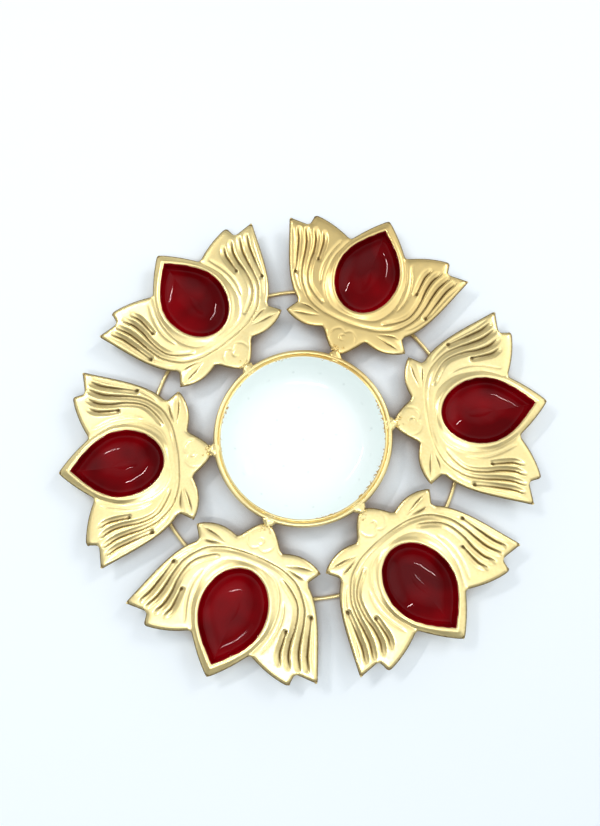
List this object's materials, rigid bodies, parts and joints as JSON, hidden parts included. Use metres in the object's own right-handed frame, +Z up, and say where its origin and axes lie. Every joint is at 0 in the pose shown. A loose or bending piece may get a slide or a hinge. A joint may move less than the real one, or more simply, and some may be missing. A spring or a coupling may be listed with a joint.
{
  "type": "urli with diyas",
  "caption": "Flat table centrepiece: a shallow enamelled water bowl in a wire ring, with lotus plates welded round it, each with a teardrop well for an oil lamp or tealight.",
  "frame": {"origin": "on the resting surface, under the centre of the bowl", "axes": "+Z up, +X along the centreline of lotus 1 from the bowl to its pointed tip; the other lotuses follow every 60 degrees"},
  "size_m": [0.305, 0.2898, 0.0148],
  "materials": {
    "gold_paint": "satin pale-gold paint on pressed steel and wire",
    "weld_metal": "rough weld beads under the same gold paint",
    "white_enamel": "glossy white to pale mint enamel",
    "red_enamel": "glossy deep red enamel"
  },
  "bodies": {
    "root": {"urli_bowl": "gold_paint", "urli_enamel": "white_enamel", "centre_ring": "gold_paint", "foot_ring": "gold_paint", "lotus_plate_1": "gold_paint", "well_enamel_1": "red_enamel", "tip_weld_1": "weld_metal", "foot_weld_1": "weld_metal", "lotus_plate_2": "gold_paint", "well_enamel_2": "red_enamel", "tip_weld_2": "weld_metal", "foot_weld_2": "weld_metal", "lotus_plate_3": "gold_paint", "well_enamel_3": "red_enamel", "tip_weld_3": "weld_metal", "foot_weld_3": "weld_metal", "lotus_plate_4": "gold_paint", "well_enamel_4": "red_enamel", "tip_weld_4": "weld_metal", "foot_weld_4": "weld_metal", "lotus_plate_5": "gold_paint", "well_enamel_5": "red_enamel", "tip_weld_5": "weld_metal", "foot_weld_5": "weld_metal", "lotus_plate_6": "gold_paint", "well_enamel_6": "red_enamel", "tip_weld_6": "weld_metal", "foot_weld_6": "weld_metal"}
  },
  "joints": []
}
